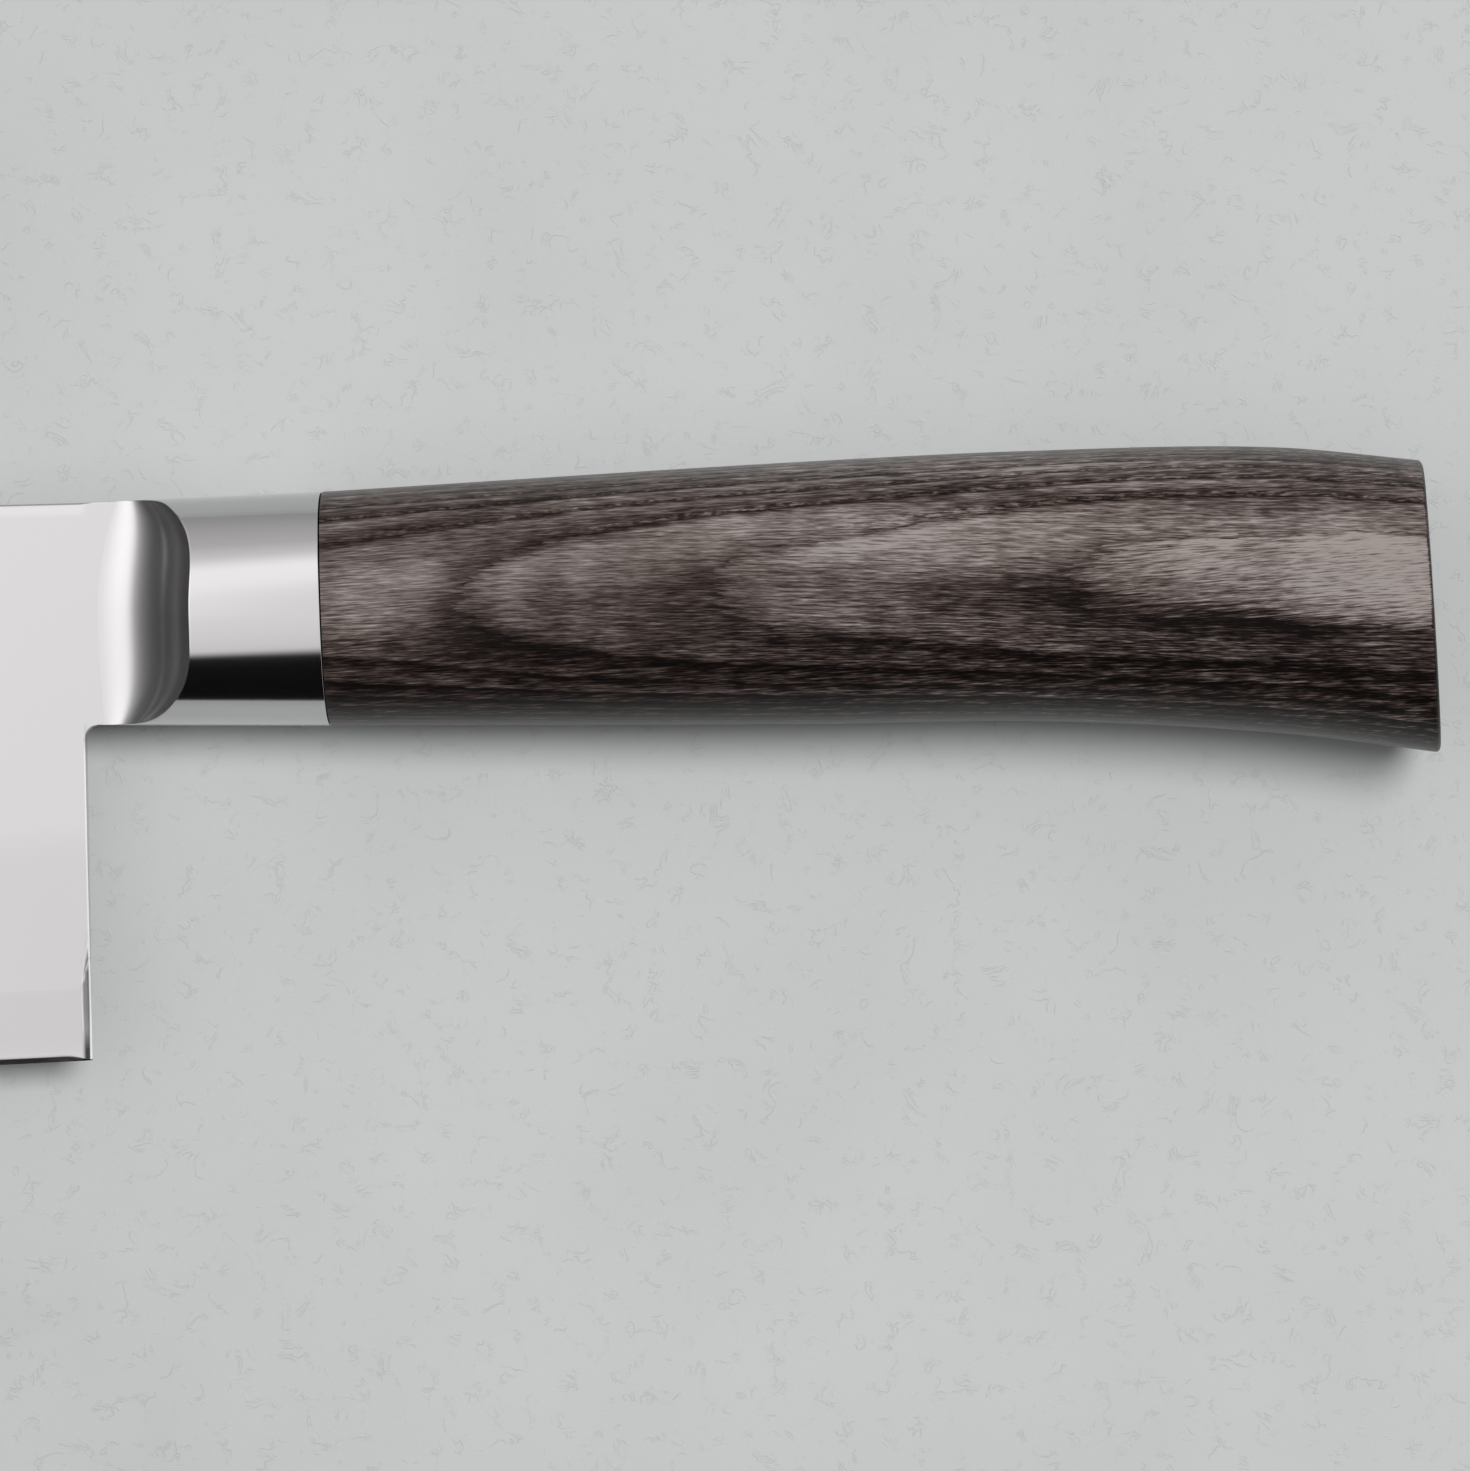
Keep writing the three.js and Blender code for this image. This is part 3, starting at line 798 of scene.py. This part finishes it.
def makeLoftTree():
    tree = bpy.data.node_groups.new("rounded section loft", "GeometryNodeTree")
    tree.interface.new_socket("Stations", in_out="INPUT", socket_type="NodeSocketGeometry")
    kinds = {
        "sides": ("Sides", "Int"), "spinePower": ("Spine power", "Float"),
        "edgePower": ("Edge power", "Float"), "material": ("Finish", "Material"),
    }
    sockets = {}
    for key, (label, kind) in kinds.items():
        sockets[key] = tree.interface.new_socket(label, in_out="INPUT", socket_type="NodeSocket" + kind)
    tree.interface.new_socket("Loft", in_out="OUTPUT", socket_type="NodeSocketGeometry")
    given = addNode(tree, "NodeGroupInput").outputs
    named = {}
    for name in (*ringValues, "turn"):
        named[name] = addNode(tree, "GeometryNodeInputNamedAttribute", inputs={"Name": name})

    path = addNode(tree, "GeometryNodeMeshToCurve", inputs={0: given["Stations"]})
    circle = addNode(tree, "GeometryNodeCurvePrimitiveCircle", inputs={"Resolution": given["Sides"]})
    step = addNode(tree, "Math", "DIVIDE", (2 * math.pi, given["Sides"]))
    order = addNode(tree, "GeometryNodeInputIndex")
    turn = addNode(tree, "Math", "MULTIPLY", (order, step))
    ring = addNode(tree, "GeometryNodeStoreNamedAttribute", inputs={
        "Geometry": circle, "Name": "turn", "Value": turn})
    skin = addNode(tree, "GeometryNodeCurveToMesh", inputs={
        "Curve": path, "Profile Curve": ring, "Fill Caps": True})

    waves = {name: addNode(tree, "Math", operation, {0: named["turn"]})
             for name, operation in (("y", "COSINE"), ("z", "SINE"))}
    above = addNode(tree, "Math", "GREATER_THAN", (waves["y"], 0))
    power = addNode(tree, "Mix", inputs={0: above, 2: given["Edge power"], 3: given["Spine power"]})
    exponent = addNode(tree, "Math", "DIVIDE", (2, power))
    reach = {}
    for name, wave in waves.items():
        size = addNode(tree, "Math", "ABSOLUTE", {0: wave})
        bent = addNode(tree, "Math", "POWER", (size, exponent))
        sign = addNode(tree, "Math", "SIGN", {0: wave})
        reach[name] = addNode(tree, "Math", "MULTIPLY", (bent, sign))
    height = addNode(tree, "Mix", inputs={0: above, 2: named["drop"], 3: named["rise"]})
    y = addNode(tree, "Math", "MULTIPLY", (reach["y"], height))
    z = addNode(tree, "Math", "MULTIPLY", (reach["z"], named["half"]))
    shear = addNode(tree, "Math", "MULTIPLY", (named["slant"], y))
    x = addNode(tree, "Math", "SUBTRACT", (named["place"], shear))
    spot = addNode(tree, "CombineXYZ", inputs=(x, y, z))
    shaped = addNode(tree, "GeometryNodeSetPosition", inputs={"Geometry": skin, "Position": spot})
    solid = addNode(tree, "GeometryNodeRealizeInstances", inputs={0: shaped})
    finished = addNode(tree, "GeometryNodeSetMaterial", inputs={
        "Geometry": solid, "Material": given["Finish"]})
    addNode(tree, "NodeGroupOutput", inputs={0: finished})
    return tree, {key: socket.identifier for key, socket in sockets.items()}


def evaluated(carrier):  # the carrier's mesh with its modifier applied, and the carrier gone
    graph = bpy.context.evaluated_depsgraph_get()
    mesh = bpy.data.meshes.new_from_object(carrier.evaluated_get(graph))
    carrier.modifiers.clear()
    bpy.data.objects.remove(carrier)
    return mesh


def makeHandleBlock():
    rings = handleRings()
    line = bpy.data.meshes.new("handle stations")
    line.from_pydata([(ring[0], 0, 0) for ring in rings], [(i, i + 1) for i in range(len(rings) - 1)], [])
    for k, name in enumerate(ringValues):
        attribute = line.attributes.new(name, "FLOAT", "POINT")
        attribute.data.foreach_set("value", [ring[k] for ring in rings])
    carrier = addObject("handle carrier", line)
    tree, inputs = makeLoftTree()
    loft = carrier.modifiers.new("loft", "NODES")
    loft.node_group = tree
    loft[inputs["sides"]] = handle["sides"]
    loft[inputs["spinePower"]] = float(handle["spinePower"])
    loft[inputs["edgePower"]] = handle["edgePower"]
    loft[inputs["material"]] = pakkawood
    return evaluated(carrier)


def makeTangSlot():  # the glued slot's inside, a little over the tang all round
    xs = [handle["front"] - handle["slotAhead"], *np.linspace(blade["neckEnd"] + 1, blade["tangEnd"], 40)]
    upper = [(x, tangHalfAt(x) + handle["slotWall"]) for x in xs]
    outline = upper + [(x, -y) for x, y in upper[::-1]]
    cutter = bmesh.new()
    ends = []
    for z in (-handle["slotHalf"], handle["slotHalf"]):
        ends.append([cutter.verts.new((x, y, z)) for x, y in outline])
        cutter.faces.new(ends[-1])
    for i in range(len(outline)):
        k = (i + 1) % len(outline)
        cutter.faces.new((ends[0][i], ends[0][k], ends[1][k], ends[1][i]))
    return addObject("tang slot", meshFrom(cutter, "tang slot"))


def makeHandle():
    slot = makeTangSlot()
    block = addObject("handle block", makeHandleBlock())
    cut = block.modifiers.new("slot", "BOOLEAN")
    cut.operation = "DIFFERENCE"
    cut.object = slot
    mesh = evaluated(block)
    bpy.data.objects.remove(slot)
    for name in (*ringValues, "turn"):
        if name in mesh.attributes:
            mesh.attributes.remove(mesh.attributes[name])
    mesh.name = "pakkawood_handle"
    veneers = [name for name in frame["nodes"] if name.startswith("handle_veneer_")]
    finishPiece("pakkawood_handle", mesh, pakkawood, veneers)


makeHandle()

epoxy = {"deep": "#a88f62", "pale": "#c4ae84", "hazeLengths": (3, 3, 3), "roughness": 0.35}


def makeEpoxy():
    # Cured epoxy, amber and slightly cloudy, hidden round the tang
    material, tree, shader = newMaterial("cured epoxy")
    haze = pattern(tree, knifePoint(tree), epoxy["hazeLengths"], 2)
    amber = addNode(tree, "ValToRGB", inputs={0: haze})
    setStops(amber.color_ramp, [(0.3, epoxy["deep"]), (0.7, epoxy["pale"])])
    setInputs(tree, shader, {"Base Color": amber, "Roughness": epoxy["roughness"]})
    return material


epoxyNode = frame["nodes"]["tang_epoxy"]
epoxyNode.data.materials.clear()
epoxyNode.data.materials.append(makeEpoxy())

# Table, light and camera

plaster = {
    "pale": "#c8cbca", "shade": "#c3c6c5", "dim": "#b8bbba", "unlit": "#303131",
    "trowelMark": 2.6, "swirl": 1.2, "wornMark": 2.08, "wornSeen": (0.5, 0.62), "grain": 0.7, "cloud": 30,
    "grainShare": 0.35, "ridgeShare": 0.22, "ridgeHeight": 0.12, "ridgeBump": 0.5,
    "roughness": 0.85, "specular": 0.2,
    # painted fall-off of light: its brightest place, how far it stays bright, where it dims and how deep
    "lightPoolAt": (0.135, 0.025, 0), "lightPoolTo": 0.07, "lightFallFrom": 0.15, "lightFallDepth": -0.45,
    "unlitFrom": -0.19, "unlitTo": -0.26,
}


def plasterRelief(tree, place):  # broken ridges, then the same with the grain between them
    marks, worn, grain = [
        pattern(tree, place, [plaster[key] * mm] * 3, detail, roughness)
        for key, detail, roughness in (("trowelMark", 3, 0.6), ("wornMark", 2, 0.5), ("grain", 3, 0.5))]
    marks.inputs["Distortion"].default_value = plaster["swirl"]
    crease = addNode(tree, "ValToRGB", inputs={0: marks})
    setStops(crease.color_ramp, [(0.46, 0.5), (0.485, 0), (0.515, 1), (0.54, 0.5)])
    left = addNode(tree, "MapRange", inputs=(worn, *plaster["wornSeen"]))
    ridge = addNode(tree, "Mix", inputs={0: left, 2: 0.5, 3: crease})
    relief = addNode(tree, "Math", "MULTIPLY_ADD", (grain, plaster["grainShare"], ridge))
    return ridge, relief


def plasterTone(tree, place, ridge):  # clouded, with a painted fall-off of light: dimmer away from the brightest place beside the knife
    cloud = pattern(tree, place, [plaster["cloud"] * mm] * 3, 3)
    mottle = addNode(tree, "Math", "MULTIPLY_ADD", (ridge, plaster["ridgeShare"], cloud))
    away = addNode(tree, "VectorMath", "DISTANCE", (place, plaster["lightPoolAt"]))
    dim = addNode(tree, "MapRange", softly, (
        away.outputs["Value"], plaster["lightPoolTo"], plaster["lightFallFrom"], 0, plaster["lightFallDepth"]))
    paler = addNode(tree, "Math", "ADD", (mottle, dim))
    tone = addNode(tree, "ValToRGB", inputs={0: paler})
    setStops(tone.color_ramp, [(0, plaster["dim"]), (0.3, plaster["shade"]), (0.7, plaster["pale"])])
    return tone


def makePlaster():
    # Trowelled plaster, matt and pale, with fine ridges left by the float and a faint cloud of tone;
    # painted fall-off of light away from the knife, and painted dark reflection past the tip
    material, tree, shader = newMaterial("trowelled plaster")
    place = addNode(tree, "TexCoord").outputs["Object"]
    ridge, relief = plasterRelief(tree, place)
    tone = plasterTone(tree, place, ridge)
    rays = addNode(tree, "LightPath").outputs
    axes = addNode(tree, "SeparateXYZ", inputs={0: place}).outputs
    # past the tip the steel sees a dark room
    beyond = addNode(tree, "MapRange", inputs=(axes["X"], plaster["unlitFrom"], plaster["unlitTo"]))
    unlit = addNode(tree, "Math", "MULTIPLY", (beyond, rays["Is Glossy Ray"]))
    colour = addNode(tree, "Mix", {"data_type": "RGBA"}, {0: unlit, 6: tone, 7: linear(plaster["unlit"])})
    bump = addNode(tree, "Bump", inputs={
        "Strength": plaster["ridgeBump"], "Distance": plaster["ridgeHeight"] * mm, "Height": relief})
    setInputs(tree, shader, {
        "Base Color": colour.outputs[2], "Normal": bump, "Roughness": plaster["roughness"],
        "Specular IOR Level": plaster["specular"]})
    return material


studio = {
    "tableSize": 6, "keyTiltX": 15, "keyTiltY": 9, "keySpread": 20, "keyStrength": 2.16,
    "panelLight": 1.4, "panelFill": 0.5, "roomFill": 0.05, "backdrop": "#c8cac9",
    "cornerFoot": 0.28, "cornerTop": 0.62, "cornerHigh": 0.8, "cornerX": (12, 24), "cornerY": (16, 36),
    "pastTip": (-64, -54), "pastTipShare": 0.25,
}


def makeTable():
    mesh = bpy.data.meshes.new("table")
    reach = studio["tableSize"] / 2
    corners = [(x * reach, y * reach, 0) for x, y in ((-1, -1), (1, -1), (1, 1), (-1, 1))]
    mesh.from_pydata(corners, [], [(0, 1, 2, 3)])
    mesh.materials.append(makePlaster())
    addObject("table", mesh)


def makeKeyLight():
    lamp = bpy.data.lights.new("key", "SUN")
    lamp.energy = studio["keyStrength"]
    lamp.angle = math.radians(studio["keySpread"])
    key = addObject("key", lamp)
    tilts = [math.tan(math.radians(studio[tilt])) for tilt in ("keyTiltX", "keyTiltY")]
    key.rotation_euler = Vector((*tilts, 1)).to_track_quat("Z", "Y").to_euler()
    key.visible_glossy = False  # the panel is what shines in the steel


def softboxPicture(tree, overY, overX):
    # brightness by degrees from overhead, towards the spine and then towards the butt
    acrossStops = [
        (-90, 0.003), (-30.5, 0.004), (-25, 0.67), (-4, 0.77), (-2.8, 0.75), (-1.6, 0.8), (1.5, 0.85),
        (4, 0.95), (13, 0.97), (22.5, 0.62), (35.5, 0.45), (80, 0.31), (90, 0.3)]
    alongStops = [
        (-90, 0.05), (-76, 0.1), (-63, 0.19), (-52, 0.42), (-43.5, 1.26), (-32, 1.33), (-20, 1.2),
        (-5, 0.97), (5, 0.95), (9, 1.4), (15, 1.4), (19, 0.84), (27, 0.45), (36, 0.2), (50, 0.12),
        (90, 0.1)]
    picture = 1
    for angle, places in ((overY, acrossStops), (overX, alongStops)):
        share = addNode(tree, "MapRange", inputs=(angle, -math.pi / 2, math.pi / 2))
        ramp = addNode(tree, "ValToRGB", inputs={0: share})
        setStops(ramp.color_ramp, [((degrees + 90) / 180, level) for degrees, level in places])
        picture = addNode(tree, "Math", "MULTIPLY", (picture, ramp))
    return picture


def roomCorners(tree, corner, axes, overY, overX):  # where they are and their grey, darker past the tip
    for angle, key in ((overX, "cornerX"), (overY, "cornerY")):
        near, far = [math.radians(degrees) for degrees in studio[key]]
        turned = addNode(tree, "Math", "ABSOLUTE", {0: angle})
        aside = addNode(tree, "MapRange", softly, (turned, near, far))
        corner = addNode(tree, "Math", "MULTIPLY", (corner, aside))
    raised = addNode(tree, "MapRange", inputs=(
        axes["Z"], 0, studio["cornerHigh"], studio["cornerFoot"], studio["cornerTop"]))
    start, end = [math.radians(degrees) for degrees in studio["pastTip"]]
    pastTip = addNode(tree, "MapRange", inputs=(overX, start, end, studio["pastTipShare"], 1))
    return corner, addNode(tree, "Math", "MULTIPLY", (raised, pastTip))


def makeWorld():
    # A studio by direction: a broad softbox overhead, a pale wall behind the spine, a dark side
    # towards the edge and grey corners. Polished steel shows it in full, as fill light it is weaker.
    world = bpy.data.worlds.new("studio")
    world.use_nodes = True
    tree = world.node_tree
    tree.nodes.clear()
    towards = addNode(tree, "TexCoord").outputs["Generated"]
    axes = addNode(tree, "SeparateXYZ", inputs={0: towards}).outputs
    overY = addNode(tree, "Math", "ARCTAN2", (axes["Y"], axes["Z"]))
    overX = addNode(tree, "Math", "ARCSINE", {0: axes["X"]})
    rays = addNode(tree, "LightPath").outputs
    glossy = rays["Is Glossy Ray"]
    picture = softboxPicture(tree, overY, overX)
    corner, grey = roomCorners(tree, glossy, axes, overY, overX)
    room = addNode(tree, "Mix", inputs={0: corner, 2: picture, 3: grey})
    level = addNode(tree, "MapRange", inputs=(
        glossy, 0, 1, studio["panelLight"] * studio["panelFill"], studio["panelLight"]))
    haze = addNode(tree, "MapRange", inputs=(glossy, 0, 1, studio["roomFill"], 0))
    bright = addNode(tree, "Math", "MULTIPLY_ADD", (room, level, haze))
    light = addNode(tree, "Background", inputs={"Color": (1, 1, 1, 1), "Strength": bright})
    backdrop = addNode(tree, "Background", inputs={"Color": linear(studio["backdrop"])})
    both = addNode(tree, "MixShader", inputs=(rays["Is Camera Ray"], light, backdrop))
    addNode(tree, "OutputWorld", inputs={"Surface": both})
    bpy.context.scene.world = world


view = {
    "imageWidth": 1470, "imageHeight": 1471, "pixelsPerMm": 11.25, "distance": 980,
    "middle": (102.417, 1.69), "height": 8.526, "turn": 1.15, "sensor": 36,
}


def makeCamera():
    lens = bpy.data.cameras.new("overhead")
    lens.sensor_width = view["sensor"]
    frameSize = max(view["imageWidth"], view["imageHeight"]) / view["pixelsPerMm"]
    lens.lens = view["sensor"] * view["distance"] / frameSize
    lens.clip_end = 10
    camera = addObject("overhead", lens)
    camera.location = Vector((*view["middle"], view["height"] + view["distance"])) * mm
    camera.rotation_euler = (0, 0, -math.radians(view["turn"]))
    bpy.context.scene.camera = camera


makeTable()
makeKeyLight()
makeWorld()
makeCamera()
bpy.context.scene.view_settings.view_transform = "Standard"
print("studio: table, key light, world and camera")
